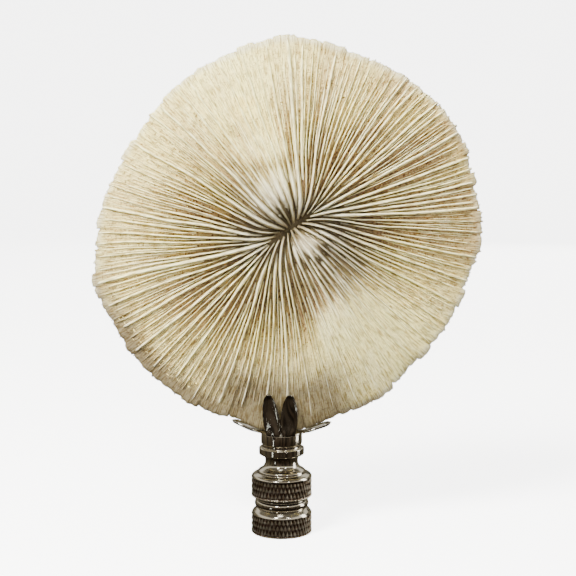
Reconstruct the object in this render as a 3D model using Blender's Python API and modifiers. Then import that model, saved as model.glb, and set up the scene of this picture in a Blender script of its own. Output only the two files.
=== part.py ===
"""Lamp shade finial: a mushroom coral stood on edge in a six-petal crown, on a turned base.

The base is nickel-plated, with two knurled bands and a blind socket underneath for the stud of a
lamp harp. +Z runs up the socket's axis, +X is to the viewer's right and -Y is towards the viewer,
who sees the gilled face of the coral. The origin is where the socket's axis meets the underside.
Every size is in metres.
"""

import math

import bmesh
import bpy
from mathutils import Vector

# Clearance between two pieces that touch in the real object
GAP = 0.0003

# Turned base, from the foot up
BAND_RADIUS = 0.00635
FOOT_BEVEL = 0.00025
LOWER_BAND_HEIGHT = 0.0040
LOWER_SHOULDER_HEIGHT = 0.00125
GROOVE_RADIUS = 0.0052
BEAD_RADIUS = 0.00565
BEAD_HEIGHT = 0.0015
UNDERCUT_RADIUS = 0.00505
UNDERCUT_HEIGHT = 0.00115
UPPER_BAND_HEIGHT = 0.00375
UPPER_SHOULDER_HEIGHT = 0.0010
STEP_RADIUS = 0.00485
STEP_HEIGHT = 0.0003
COVE_HEIGHT = 0.00165
COVE_POWER = 1.6
NECK_RADIUS = 0.0033
NECK_HEIGHT = 0.0014
RING_RADIUS = 0.0047
RING_HEIGHT = 0.0020
COLLAR_RADIUS = 0.0043
COLLAR_FOOT_RADIUS = 0.00405
COLLAR_FOOT_HEIGHT = 0.0009
COLLAR_HEIGHT = 0.0018
COLLAR_BEVEL = 0.00015

# Knurling, cut into each band between plain margins
KNURL_DEPTH = 0.0003
KNURL_MARGIN_TOP = 0.0008
KNURL_MARGIN_FOOT = 0.00035
KNURL_ROWS = 4
KNURL_DIAMONDS = 24

# Blind socket for a 1/4-27 harp stud
SOCKET_RADIUS = 0.003175
SOCKET_DEPTH = 0.0095
SOCKET_CHAMFER = 0.0004

# Crown: a stamped star on top of the collar, with its petals bent up around the coral
SHEET = 0.00045
PETALS = 6
CROWN_TURN = math.radians(-3)
ROOT_HALF_ANGLE = math.radians(20)
PETAL_HALF_WIDTH = 0.0017
PETAL_BELLY = 0.35
PETAL_TIP = 0.68
FACE_PETAL_LENGTH = 0.0086
EDGE_PETAL_REACH = 0.0104
EDGE_PETAL_CURL = 1.12
PETAL_UNTWIST = 0.8
PETAL_COLUMNS = 4
PETAL_ROWS = 6

# Coral: its nominal radius, where its centre is across the axis, and its section. The higher
# a power, the flatter the disc stays before it turns down.
CORAL_RADIUS = 0.040
CORAL_OFFSET_X = 0.00134
RIM_DEPTH = 0.0006
RIM_FRONT = 0.0024
RIM_BACK = 0.0026
RIM_POWER = 8
DOME_HEIGHT = 0.0066
DOME_POWER = 1.25
BACK_HOLLOW = 0.0011
FOSSA_DEPTH = 0.0030
FOSSA_HALF_LENGTH = 0.0030
FOSSA_SHARE = 0.1
FOSSA_ANGLE = math.radians(35)
FOSSA_SHIFT = Vector((0.0006, 0.0011))
RIDGE_HEIGHT = 0.0013
BACK_RIDGE_HEIGHT = 0.0005
WAVE_HEIGHT = 0.0005

# Rim radius as a share of CORAL_RADIUS, every 15 degrees from +X towards +Z
RIM_SHARES = (
    1.000, 0.995, 1.018, 1.012, 0.983, 0.970, 0.992, 0.960,
    0.952, 0.940, 0.930, 0.960, 0.988, 1.037, 1.037, 1.042,
    1.035, 1.018, 1.027, 1.004, 0.987, 0.952, 0.963, 0.970,
)

# Second-cycle ridges rise between these shares of the rim radius
LATE_RIDGE_START = 0.28
LATE_RIDGE_FULL = 0.6

# Facets of the coral: four spokes to each main ridge, and rings from pole to pole of a sphere
MAIN_RIDGES = 48
SPOKES = 4 * MAIN_RIDGES
RINGS = 14
RIM_RING = 10
FRONT_RING_CROWDING = 1.25
BACK_RING_CROWDING = 0.6


def smooth_step(low, high, value):
    """0 below low, 1 above high and an S-shaped rise between them."""
    share = min(1.0, max(0.0, (value - low) / (high - low)))
    return share * share * (3 - 2 * share)


def material(name, colour, roughness, metallic):
    """A Principled material of one colour."""
    made = bpy.data.materials.new(name)
    made.use_nodes = True
    shader = made.node_tree.nodes["Principled BSDF"]
    shader.inputs["Base Color"].default_value = (*colour, 1.0)
    shader.inputs["Roughness"].default_value = roughness
    shader.inputs["Metallic"].default_value = metallic
    return made


def add_object(name, mesh, surface, collection):
    """An object of this mesh in the collection, shaded smooth between its sharp edges."""
    mesh.materials.clear()
    mesh.materials.append(surface)
    mesh.shade_smooth()
    mesh.set_sharp_from_angle(angle=math.radians(40))
    made = bpy.data.objects.new(name, mesh)
    collection.objects.link(made)
    return made


# Turned base


def base_levels():
    """Heights at which the stages of the base start, from the foot up."""
    stages = (
        ("lower_band", LOWER_BAND_HEIGHT),
        ("lower_shoulder", LOWER_SHOULDER_HEIGHT),
        ("bead", BEAD_HEIGHT),
        ("undercut", UNDERCUT_HEIGHT),
        ("upper_band", UPPER_BAND_HEIGHT),
        ("upper_shoulder", UPPER_SHOULDER_HEIGHT),
        ("step", STEP_HEIGHT),
        ("cove", COVE_HEIGHT),
        ("neck", NECK_HEIGHT),
        ("ring", RING_HEIGHT),
        ("collar_foot", COLLAR_FOOT_HEIGHT),
        ("collar", COLLAR_HEIGHT),
    )
    levels = {}
    height = 0.0
    for name, stage_height in stages:
        levels[name] = height
        height += stage_height
    levels["top"] = height
    return levels


def band_heights(foot, height):
    """Heights of a knurled band's rows from the top down, with its plain margins."""
    top = foot + height - KNURL_MARGIN_TOP
    bottom = foot + KNURL_MARGIN_FOOT
    return [top + (bottom - top) * row / KNURL_ROWS for row in range(KNURL_ROWS + 1)]


def bulge(low, height, inner, outer, points):
    """A half-round moulding between two heights, from its top down."""
    turns = [math.pi * i / (points - 1) for i in range(points)]
    return [
        (inner + (outer - inner) * math.sin(t), low + height * (1 + math.cos(t)) / 2)
        for t in turns
    ]


def shoulder(low, height, inner, outer, roundness, points):
    """A slope from a step out to a band: a chamfer at roundness 0, a quarter round at 1."""
    slope = []
    for i in range(points):
        share = i / points
        across = share + (math.sin(math.pi / 2 * share) - share) * roundness
        down = 1 - share + (math.cos(math.pi / 2 * share) - 1 + share) * roundness
        slope.append((inner + (outer - inner) * across, low + height * down))
    return slope


def swept_cove(low, height, inner, outer, points):
    """A hollow flare from a neck down to a wider step."""
    shares = [i / points for i in range(points + 1)]
    return [(inner + (outer - inner) * s**COVE_POWER, low + height * (1 - s)) for s in shares]


def base_profile():
    """(radius, height) down the outer side of the base, across its foot and up its socket."""
    at = base_levels()
    upper_rows = band_heights(at["upper_band"], UPPER_BAND_HEIGHT)
    lower_rows = band_heights(at["lower_band"], LOWER_BAND_HEIGHT)
    points = [
        (0.0, at["top"]),
        (COLLAR_RADIUS - COLLAR_BEVEL, at["top"]),
        (COLLAR_RADIUS, at["top"] - COLLAR_BEVEL),
        (COLLAR_RADIUS, at["collar"]),
        (COLLAR_FOOT_RADIUS, at["collar_foot"]),
    ]
    points += bulge(at["ring"], RING_HEIGHT, NECK_RADIUS, RING_RADIUS, 5)[1:]
    points += swept_cove(at["cove"], COVE_HEIGHT, NECK_RADIUS, STEP_RADIUS, 3)
    points += shoulder(
        at["upper_shoulder"], UPPER_SHOULDER_HEIGHT, STEP_RADIUS, BAND_RADIUS, 0.5, 3
    )
    points.append((BAND_RADIUS, at["upper_shoulder"]))
    points += [(BAND_RADIUS, height) for height in upper_rows]
    points += [(BAND_RADIUS, at["upper_band"]), (UNDERCUT_RADIUS, at["upper_band"])]
    points += bulge(at["bead"], BEAD_HEIGHT, GROOVE_RADIUS, BEAD_RADIUS, 5)
    points += shoulder(
        at["lower_shoulder"], LOWER_SHOULDER_HEIGHT, GROOVE_RADIUS, BAND_RADIUS, 0.2, 2
    )[1:]
    points.append((BAND_RADIUS, at["lower_shoulder"]))
    points += [(BAND_RADIUS, height) for height in lower_rows]
    points += [
        (BAND_RADIUS, FOOT_BEVEL),
        (BAND_RADIUS - FOOT_BEVEL, 0.0),
        (SOCKET_RADIUS + SOCKET_CHAMFER, 0.0),
        (SOCKET_RADIUS, SOCKET_CHAMFER),
        (SOCKET_RADIUS, SOCKET_DEPTH),
        (0.0, SOCKET_DEPTH),
    ]
    return points


def turned_mesh(name, profile, steps):
    """The profile turned about Z with a Screw modifier, as a mesh."""
    outline = bpy.data.meshes.new(name + "_profile")
    vertices = [(radius, 0.0, height) for radius, height in profile]
    edges = [(i, i + 1) for i in range(len(profile) - 1)]
    outline.from_pydata(vertices, edges, [])
    turning = bpy.data.objects.new(name + "_profile", outline)
    bpy.context.scene.collection.objects.link(turning)
    screw = turning.modifiers.new("turn", "SCREW")
    screw.steps = steps
    screw.render_steps = steps
    screw.use_merge_vertices = True
    screw.merge_threshold = 0.00001
    bpy.context.view_layer.update()
    evaluated = turning.evaluated_get(bpy.context.evaluated_depsgraph_get())
    mesh = bpy.data.meshes.new_from_object(evaluated)
    bpy.data.objects.remove(turning)
    bpy.data.meshes.remove(outline)
    return mesh


def knurl(mesh, foot, height):
    """Presses every other point of a band's inner rows in, which leaves rows of pyramids."""
    rows = band_heights(foot, height)[1:-1]
    tolerance = 0.25 * (rows[0] - rows[1])
    for vertex in mesh.vertices:
        radius = math.hypot(vertex.co.x, vertex.co.y)
        if radius < BAND_RADIUS - 0.5 * KNURL_DEPTH:
            continue
        turn = math.atan2(vertex.co.y, vertex.co.x) / (2 * math.pi)
        column = round(turn * 2 * KNURL_DIAMONDS)
        for row, row_height in enumerate(rows):
            if abs(vertex.co.z - row_height) < tolerance and (row + column) % 2:
                shrink = (BAND_RADIUS - KNURL_DEPTH) / radius
                vertex.co.x *= shrink
                vertex.co.y *= shrink


def build_base(collection, surface):
    """The turned base in one piece, with its knurled bands and its socket."""
    mesh = turned_mesh("knurled_base", base_profile(), 2 * KNURL_DIAMONDS)
    at = base_levels()
    knurl(mesh, at["upper_band"], UPPER_BAND_HEIGHT)
    knurl(mesh, at["lower_band"], LOWER_BAND_HEIGHT)
    return add_object("knurled_base", mesh, surface, collection)


# Coral


def crown_top():
    """Height of the upper face of the star that the coral stands on."""
    return base_levels()["top"] + GAP + SHEET


def rim_radius(angle):
    """Rim radius at an angle, on a smooth closed curve through RIM_SHARES."""
    count = len(RIM_SHARES)
    place = angle / (2 * math.pi) * count
    first = math.floor(place)
    t = place - first
    a, b, c, d = (RIM_SHARES[(first + k) % count] for k in (-1, 0, 1, 2))
    curve = 2 * b + (c - a) * t + (2 * a - 5 * b + 4 * c - d) * t * t
    curve += (3 * b - a - 3 * c + d) * t * t * t
    return CORAL_RADIUS * curve / 2


def coral_centre():
    """Centre of the disc, in X and Z."""
    lowest = rim_radius(-math.pi / 2)
    return Vector((CORAL_OFFSET_X, crown_top() + GAP + lowest))


def disc_share(place):
    """Share of the rim radius at a place in X and Z on the disc, and the angle there."""
    outwards = place - coral_centre()
    angle = math.atan2(outwards.y, outwards.x)
    return min(1.0, outwards.length / rim_radius(angle)), angle


def wave(share, angle):
    """How far the disc is bent backwards at a point. The foot, where it is held, is flat."""
    bend = math.sin(3 * angle + 0.6) + 0.6 * math.sin(5 * angle + 2.0)
    return WAVE_HEIGHT * share**2 * bend * smooth_step(-1.0, -0.5, math.sin(angle))


def front_depth(place):
    """Y of the gilled face's crests at a place in X and Z, as if it had no mouth."""
    share, angle = disc_share(place)
    rim = RIM_FRONT * math.sqrt(1 - share**RIM_POWER)
    dome = DOME_HEIGHT * (1 - share**2) ** DOME_POWER
    return RIM_DEPTH - rim - dome + wave(share, angle)


def back_depth(place):
    """Y of the underside's ribs at a place in X and Z."""
    share, angle = disc_share(place)
    rim = RIM_BACK * math.sqrt(1 - share**RIM_POWER)
    hollow = BACK_HOLLOW * (1 - share**2)
    return RIM_DEPTH + rim - hollow + wave(share, angle)


def spoke_place(share, angle):
    """X and Z of a point on a spoke, which runs from the mouth's slit to the rim."""
    slit = Vector((math.cos(FOSSA_ANGLE), math.sin(FOSSA_ANGLE)))
    along = FOSSA_HALF_LENGTH * math.cos(angle - FOSSA_ANGLE) * min(1.0, share / FOSSA_SHARE)
    start = FOSSA_SHIFT + slit * along
    end = rim_radius(angle) * Vector((math.cos(angle), math.sin(angle)))
    return coral_centre() + start * (1 - share) + end * share


def groove_share(spoke, share):
    """How deep a spoke lies between the crests, as a share of a ridge's height."""
    quarter = spoke % 4
    if quarter == 0:
        return 0.0
    if quarter == 2:
        return 1 - 0.85 * smooth_step(LATE_RIDGE_START, LATE_RIDGE_FULL, share)
    return 1.0


def coral_point(share, spoke, front):
    """A point of the coral's surface, on a crest or in the groove between two crests."""
    angle = 2 * math.pi * spoke / SPOKES
    place = spoke_place(share, angle)
    fade = smooth_step(0.03, 0.16, share) * (1 - 0.65 * smooth_step(0.78, 1.0, share))
    round_rim = share**RIM_POWER
    if front:
        sunk = groove_share(spoke, share) * fade * RIDGE_HEIGHT
        fossa = FOSSA_DEPTH * math.exp(-((share / FOSSA_SHARE) ** 2))
        depth = front_depth(place) + fossa + sunk * (1 - round_rim)
    else:
        sunk = groove_share(spoke, share) * fade * BACK_RIDGE_HEIGHT
        depth = back_depth(place) - sunk * (1 - round_rim)
    inwards = (coral_centre() - place).normalized()
    place += inwards * sunk * round_rim
    return Vector((place.x, depth, place.y))


def build_coral(collection, surface):
    """The coral, as a sphere whose front pole is the mouth and whose equator is the rim."""
    shape = bmesh.new()
    bmesh.ops.create_uvsphere(shape, u_segments=SPOKES, v_segments=RINGS, radius=1.0)
    for vertex in shape.verts:
        ring = round(math.acos(max(-1.0, min(1.0, vertex.co.z))) / math.pi * RINGS)
        spoke = round(math.atan2(vertex.co.y, vertex.co.x) / (2 * math.pi) * SPOKES) % SPOKES
        front = ring <= RIM_RING
        if front:
            turn = math.pi / 2 * ring / RIM_RING
            share = math.sin(turn) ** FRONT_RING_CROWDING
        else:
            turn = math.pi / 2 * (RINGS - ring) / (RINGS - RIM_RING)
            share = math.sin(turn) ** BACK_RING_CROWDING
        vertex.co = coral_point(share, spoke, front)
    bmesh.ops.triangulate(shape, faces=shape.faces)
    bmesh.ops.recalc_face_normals(shape, faces=shape.faces)
    mesh = bpy.data.meshes.new("coral_disc")
    shape.to_mesh(mesh)
    shape.free()
    return add_object("coral_disc", mesh, surface, collection)


# Crown


def edge_height(x):
    """Height of the coral's lower edge at an X near the crown."""
    centre = coral_centre()
    angle = math.asin((x - centre.x) / rim_radius(-math.pi / 2)) - math.pi / 2
    return centre.y + rim_radius(angle) * math.sin(angle)


def petal_turn(petal):
    """A petal's direction around Z, from -Y towards +X."""
    return CROWN_TURN + 2 * math.pi * (petal + 0.5) / PETALS


def hub_point(turn):
    """A point on the hub's edge, at the height of the star's lower face."""
    return Vector(
        (
            COLLAR_RADIUS * math.sin(turn),
            -COLLAR_RADIUS * math.cos(turn),
            crown_top() - SHEET,
        )
    )


def petal_half_width(share):
    """Half the width of a petal, from its root over its belly to its rounded tip."""
    root = COLLAR_RADIUS * math.sin(ROOT_HALF_ANGLE)
    belly = root + (PETAL_HALF_WIDTH - root) * smooth_step(0, PETAL_BELLY, share)
    past_belly = max(0.0, (share - PETAL_BELLY) / PETAL_TIP)
    return belly * math.sqrt(1 - past_belly**2)


def face_petal_point(turn, share, across):
    """A point on the outer face of a petal that stands against a face of the coral."""
    root = hub_point(turn)
    in_front = root.y < 0
    side = -1.0 if in_front else 1.0
    surface_depth = front_depth if in_front else back_depth
    clearance = side * (GAP + SHEET)
    height = root.z + FACE_PETAL_LENGTH * share
    tip = Vector((root.x, root.z + FACE_PETAL_LENGTH))
    lean = (surface_depth(tip) + clearance - root.y) * share
    turn_from_face = math.remainder(turn if in_front else turn - math.pi, 2 * math.pi)
    face_turn = turn_from_face * (1 - PETAL_UNTWIST * smooth_step(0, 1, share))
    width = petal_half_width(share) * across
    sag = (1 - share) * (1 - math.cos(ROOT_HALF_ANGLE * across)) * COLLAR_RADIUS
    x = root.x - side * math.cos(face_turn) * width
    y = root.y + lean - side * (math.sin(face_turn) * width + sag)
    limit = surface_depth(Vector((x, height))) + clearance
    y = min(y, limit) if in_front else max(y, limit)
    return Vector((x, y, height))


def edge_petal_point(turn, share, across):
    """A point on the lower face of a petal that reaches out under the coral's edge."""
    outwards = Vector((math.sin(turn), -math.cos(turn)))
    sideways = Vector((math.cos(turn), math.sin(turn)))
    start = crown_top() - SHEET
    tip = edge_height(EDGE_PETAL_REACH * outwards.x) - GAP - SHEET
    reach = COLLAR_RADIUS + (EDGE_PETAL_REACH - COLLAR_RADIUS) * share
    place = outwards * reach + sideways * petal_half_width(share) * across
    return Vector((place.x, place.y, start + (tip - start) * share**EDGE_PETAL_CURL))


def build_crown(collection, surface):
    """The star: a round hub with petals welded to its edge, thickened to sheet metal."""
    shape = bmesh.new()
    hub = bmesh.ops.create_circle(
        shape,
        cap_ends=True,
        cap_tris=True,
        segments=PETALS * (PETAL_COLUMNS + 2),
        radius=COLLAR_RADIUS,
    )
    # The hub's faces are turned to point down, as the petals' lower and outer faces do.
    bmesh.ops.reverse_faces(shape, faces=shape.faces)
    centre, *corners = hub["verts"]
    centre.co.z = crown_top() - SHEET
    for index, vertex in enumerate(corners):
        petal, column = divmod(index, PETAL_COLUMNS + 2)
        turn = petal_turn(petal)
        if column > PETAL_COLUMNS:
            turn += math.pi / PETALS
        else:
            turn += ROOT_HALF_ANGLE * (2 * column / PETAL_COLUMNS - 1)
        vertex.co = hub_point(turn)
    for petal in range(PETALS):
        turn = petal_turn(petal)
        at_edge = abs(math.sin(turn)) > 0.9
        petal_point = edge_petal_point if at_edge else face_petal_point
        grid = bmesh.ops.create_grid(
            shape, x_segments=PETAL_COLUMNS, y_segments=PETAL_ROWS, size=1.0
        )
        for vertex in grid["verts"]:
            across, share = vertex.co.x, (vertex.co.y + 1) / 2
            if vertex.co.y < -0.999:
                vertex.co = hub_point(turn + ROOT_HALF_ANGLE * across)
            else:
                vertex.co = petal_point(turn, share, across)
    bmesh.ops.remove_doubles(shape, verts=shape.verts, dist=0.00002)
    mesh = bpy.data.meshes.new("petal_crown")
    shape.to_mesh(mesh)
    shape.free()
    made = add_object("petal_crown", mesh, surface, collection)
    thickness = made.modifiers.new("sheet", "SOLIDIFY")
    thickness.thickness = SHEET
    thickness.offset = -1.0
    thickness.use_even_offset = True
    return made


def main():
    for leftover in list(bpy.data.objects):
        bpy.data.objects.remove(leftover)
    collection = bpy.data.collections.new("lamp_finial")
    bpy.context.scene.collection.children.link(collection)
    build_base(collection, material("turned_nickel", (0.52, 0.50, 0.45), 0.18, 1.0))
    build_crown(collection, material("stamped_nickel", (0.45, 0.43, 0.37), 0.24, 1.0))
    build_coral(collection, material("aragonite", (0.83, 0.78, 0.66), 0.8, 0.0))


main()
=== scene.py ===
"""Looks of a lamp shade finial: a mushroom coral in a petal crown, on a knurled nickel base.

Units are metres, in the frame's own axes: +Z up the socket's axis, +X to the viewer's right, and
-Y towards the viewer, who sees the gilled face of the coral.
"""

import math

import bpy
import numpy as np
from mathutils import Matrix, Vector


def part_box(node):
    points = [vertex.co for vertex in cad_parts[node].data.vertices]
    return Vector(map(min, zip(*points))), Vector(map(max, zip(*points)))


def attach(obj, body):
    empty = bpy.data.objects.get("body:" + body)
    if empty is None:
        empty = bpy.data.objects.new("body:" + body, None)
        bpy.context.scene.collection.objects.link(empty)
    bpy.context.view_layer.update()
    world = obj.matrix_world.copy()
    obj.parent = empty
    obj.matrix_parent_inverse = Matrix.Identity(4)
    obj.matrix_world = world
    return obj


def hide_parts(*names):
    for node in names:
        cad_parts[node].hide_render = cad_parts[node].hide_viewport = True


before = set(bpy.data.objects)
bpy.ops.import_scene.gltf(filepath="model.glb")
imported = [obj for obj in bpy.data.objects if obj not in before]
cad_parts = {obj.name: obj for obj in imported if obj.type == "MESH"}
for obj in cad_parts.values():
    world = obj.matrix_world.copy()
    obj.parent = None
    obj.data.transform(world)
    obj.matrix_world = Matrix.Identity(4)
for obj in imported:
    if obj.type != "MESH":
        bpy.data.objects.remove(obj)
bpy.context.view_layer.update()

MM = 0.001
TAU = 2 * math.pi

# The touching pieces stand this far apart in the frame, and the visible ones close the gap
GAP = 0.3 * MM

# Coral: the same outline and section as its solid
CORAL_RADIUS = 40 * MM
CORAL_OFFSET_X = 1.34 * MM
RIM_SHARES = (
    1.000, 0.995, 1.018, 1.012, 0.983, 0.970, 0.992, 0.960,
    0.952, 0.940, 0.930, 0.960, 0.988, 1.037, 1.037, 1.042,
    1.035, 1.018, 1.027, 1.004, 0.987, 0.952, 0.963, 0.970,
)
RIM_DEPTH = 0.6 * MM
RIM_FRONT = 2.4 * MM
RIM_BACK = 2.6 * MM
RIM_POWER = 8
DOME_HEIGHT = 6.6 * MM
DOME_POWER = 1.25
BACK_HOLLOW = 1.1 * MM
WAVE_HEIGHT = 0.5 * MM

# The coral's mouth is a slit into which the blades dive, with gaps to its left and right darkened
# by painted shade, partly dirt
MOUTH_ANGLE = math.radians(36)
DUSK_ANGLE = math.radians(14)
MOUTH_HALF_LENGTH = 2.5 * MM
MOUTH_HALF_WIDTH = 0.35 * MM
MOUTH_SHIFT = (0.6 * MM, 1.1 * MM)
MOUTH_DEPTH = 3.4 * MM
MOUTH_SPREAD = 3.6 * MM
SPOKE_BEND = 1.0
SPOKE_REACH = 0.2

# Septa, the coral's blades: every eighth one reaches the mouth, and the others start further out
SEPTA = 192
SEPTUM_PITCH = TAU / SEPTA
GAP_DEPTH = 2.45 * MM
STATION = 0.34 * MM

# Places that lime has filled: X and Z from the centre, half width, half height and how fully
FILLED = (
    (-5.2, 17.0, 6.5, 5.0, 0.62),
    (-3.4, 7.8, 4.2, 5.8, 0.8),
    (2.6, 9.6, 2.8, 5.0, 0.5),
    (4.0, -2.4, 3.8, 3.6, 0.82),
    (9.9, -17.5, 5.5, 7.0, 0.72),
    (15.0, -14.5, 6.0, 5.5, 0.4),
)

# Knurled base
BAND_RADIUS = 6.35 * MM
KNURL_DIAMONDS = 48
KNURL_PITCH = 2.4 * MM
KNURL_DEPTH = 0.34 * MM
KNURL_STARTS = (0.55 * MM, 8.45 * MM)
KNURL_BANDS = ((0.25 * MM, 3.9 * MM), (8.05 * MM, 11.55 * MM))
KNURL_EDGE = 0.12 * MM
SOCKET_RADIUS = 3.175 * MM
SOCKET_DEPTH = 9.5 * MM
SOCKET_SIDES = 72
SOCKET_LIP = 0.3 * MM
JACKET_RADIUS = 4 * MM
JACKET_ROOF = 0.4 * MM
THREAD_PITCH = 25.4 / 27 * MM
THREAD_DEPTH = 0.4 * MM

# Crown
PETALS = 6
PLATE_SIDES = 96
CROWN_TURN = math.radians(-3)
COLLAR_RADIUS = 4.3 * MM
SHEET = 0.45 * MM
ROOT_HALF_ANGLE = math.radians(22)
PETAL_HALF_WIDTH = 1.84 * MM
PETAL_BELLY = 0.35
PETAL_TIP = 0.652
FACE_PETAL_LENGTH = 8.6 * MM
FACE_ROOT_INWARDS = 0.7
FACE_SPLAY = (-1.05 * MM, 0.4 * MM)
EDGE_PETAL_REACH = 10.4 * MM
EDGE_PETAL_CURL = 1.12
PETAL_UNTWIST = 0.8


# Numbers and noise


def smooth_step(low, high, value):
    """0 below low, 1 above high and an S-shaped rise between them, on arrays too."""
    share = np.clip((np.asarray(value, float) - low) / (high - low), 0, 1)
    return share * share * (3 - 2 * share)


def noise(place, seed):
    """Smooth noise from -1 to 1 along a line, with a new random value at every whole number."""
    values = np.random.default_rng(seed).uniform(-1, 1, 1024)
    place = np.asarray(place, float)
    first = np.floor(place).astype(int)
    share = smooth_step(0, 1, place - first)
    return values[first % 1024] * (1 - share) + values[(first + 1) % 1024] * share


def wrapped(angle):
    """An angle brought to between minus and plus half a turn."""
    return (np.asarray(angle) + math.pi) % TAU - math.pi


def linear(red, green, blue):
    """A colour given in 0 to 255 as the linear RGBA that shaders take."""
    channels = [c / 255 for c in (red, green, blue)]
    made = [c / 12.92 if c <= 0.04045 else ((c + 0.055) / 1.055) ** 2.4 for c in channels]
    return (*made, 1.0)


# Meshes


def grid_faces(rows, columns):
    """Quads of a grid of points that closes on itself across its columns."""
    row, column = np.meshgrid(np.arange(rows - 1), np.arange(columns), indexing="ij")
    after = (column + 1) % columns
    corners = [
        row * columns + column,
        row * columns + after,
        (row + 1) * columns + after,
        (row + 1) * columns + column,
    ]
    return np.stack(corners, axis=-1).reshape(-1, 4).tolist()


def tube_faces(rows, columns):
    """A closed grid's quads with a flat cap at each end."""
    faces = grid_faces(rows, columns)
    faces.append(list(range(columns))[::-1])
    faces.append([(rows - 1) * columns + column for column in range(columns)])
    return faces


def pointed_faces(rows, columns):
    """A closed grid's quads, with one point before its first ring and one after its last."""
    faces = grid_faces(rows, columns)
    count = rows * columns
    last_ring = count - columns
    for column in range(columns):
        after = (column + 1) % columns
        faces.append([count, after, column])
        faces.append([count + 1, last_ring + column, last_ring + after])
    return faces


def full_turn(count):
    """Evenly spaced angles around a circle."""
    return TAU * np.arange(count) / count


def around(radius, turn, height):
    """Points at a radius and a height, turned about the Z axis."""
    radius, turn, height = np.broadcast_arrays(radius, turn, height)
    return np.stack([radius * np.cos(turn), radius * np.sin(turn), height], -1)


def place_object(name, data):
    """An object in the scene that shows a mesh, a light or a camera."""
    made = bpy.data.objects.new(name, data)
    bpy.context.scene.collection.objects.link(made)
    return made


def new_object(name, points, faces, surface):
    """A smooth mesh object in the scene."""
    mesh = bpy.data.meshes.new(name)
    mesh.from_pydata(np.asarray(points).reshape(-1, 3).tolist(), [], faces)
    mesh.materials.append(surface)
    mesh.shade_smooth()
    return place_object(name, mesh)


def at_depth(place, depth):
    """Points from places in X and Z and their depths in Y."""
    return np.stack([place[..., 0], depth, place[..., 1]], -1)


class Shells:
    """Collects the closed shells of one piece, with named numbers on their points."""

    def __init__(self):
        self.points = []
        self.faces = []
        self.values = {}
        self.count = 0

    def add(self, points, faces, **values):
        """Adds a shell. A value is one number, or one for each point or row of points."""
        self.points.append(points.reshape(-1, 3))
        self.faces += [[corner + self.count for corner in face] for face in faces]
        for key, value in values.items():
            each = np.broadcast_to(value, points.shape[:-1]).ravel()
            self.values.setdefault(key, []).append(each)
        self.count += len(self.points[-1])

    def build(self, name, surface, node):
        """Makes the piece, in the place of a node."""
        piece = new_object(name, np.concatenate(self.points), self.faces, surface)
        for key, parts in self.values.items():
            layer = piece.data.attributes.new(key, "FLOAT", "POINT")
            layer.data.foreach_set("value", np.concatenate(parts).astype(np.float32))
        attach(piece, "root")
        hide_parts(node)


# Coral: the surfaces that everything on it follows


def rim_radius(angle):
    """Rim radius at an angle, on a smooth closed curve through RIM_SHARES."""
    shares = np.array(RIM_SHARES)
    count = len(shares)
    place = np.asarray(angle, float) / TAU * count
    first = np.floor(place).astype(int)
    t = place - first
    a, b, c, d = (shares[(first + k) % count] for k in (-1, 0, 1, 2))
    curve = 2 * b + (c - a) * t + (2 * a - 5 * b + 4 * c - d) * t * t
    curve = curve + (3 * b - a - 3 * c + d) * t**3
    return CORAL_RADIUS * curve / 2


def coral_centre():
    """Centre of the disc, in X and Z, above the lowest point of its solid."""
    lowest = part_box("coral_disc")[0].z
    return np.array([CORAL_OFFSET_X, lowest + float(rim_radius(-math.pi / 2))])


CENTRE = coral_centre()


def disc_share(place):
    """Share of the rim radius at places in X and Z on the disc, and their angles."""
    outwards = place - CENTRE
    angle = np.arctan2(outwards[..., 1], outwards[..., 0])
    length = np.hypot(outwards[..., 0], outwards[..., 1])
    return np.minimum(1.0, length / rim_radius(angle)), angle


def wave(share, angle):
    """How far the disc is bent backwards. The foot, where it is held, is flat."""
    bend = np.sin(3 * angle + 0.6) + 0.6 * np.sin(5 * angle + 2.0)
    return WAVE_HEIGHT * share**2 * bend * smooth_step(-1.0, -0.5, np.sin(angle))


def from_mouth(place, turn=0.0):
    """How far places in X and Z lie from the mouth, along a direction and square to it."""
    offset = place - CENTRE - np.array(MOUTH_SHIFT)
    along = offset[..., 0] * math.cos(turn) + offset[..., 1] * math.sin(turn)
    across = offset[..., 1] * math.cos(turn) - offset[..., 0] * math.sin(turn)
    return along, across


def mouth_dip(place):
    """How far the crests dip towards the mouth at places in X and Z."""
    along, across = from_mouth(place, MOUTH_ANGLE)
    beyond = np.maximum(0, np.abs(along) - 0.75 * MOUTH_HALF_LENGTH)
    return MOUTH_DEPTH * np.exp(-np.hypot(beyond, across) ** 2 / MOUTH_SPREAD**2)


def front_depth(place):
    """Y of the crests of the tallest septa at places in X and Z."""
    share, angle = disc_share(place)
    rim = RIM_FRONT * np.sqrt(1 - share**RIM_POWER)
    dome = DOME_HEIGHT * (1 - share**2) ** DOME_POWER
    return RIM_DEPTH - rim - dome + wave(share, angle)


def back_depth(place):
    """Y of the underside at places in X and Z."""
    share, angle = disc_share(place)
    rim = RIM_BACK * np.sqrt(1 - share**RIM_POWER)
    hollow = BACK_HOLLOW * (1 - share**2)
    return RIM_DEPTH + rim - hollow + wave(share, angle)


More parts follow.
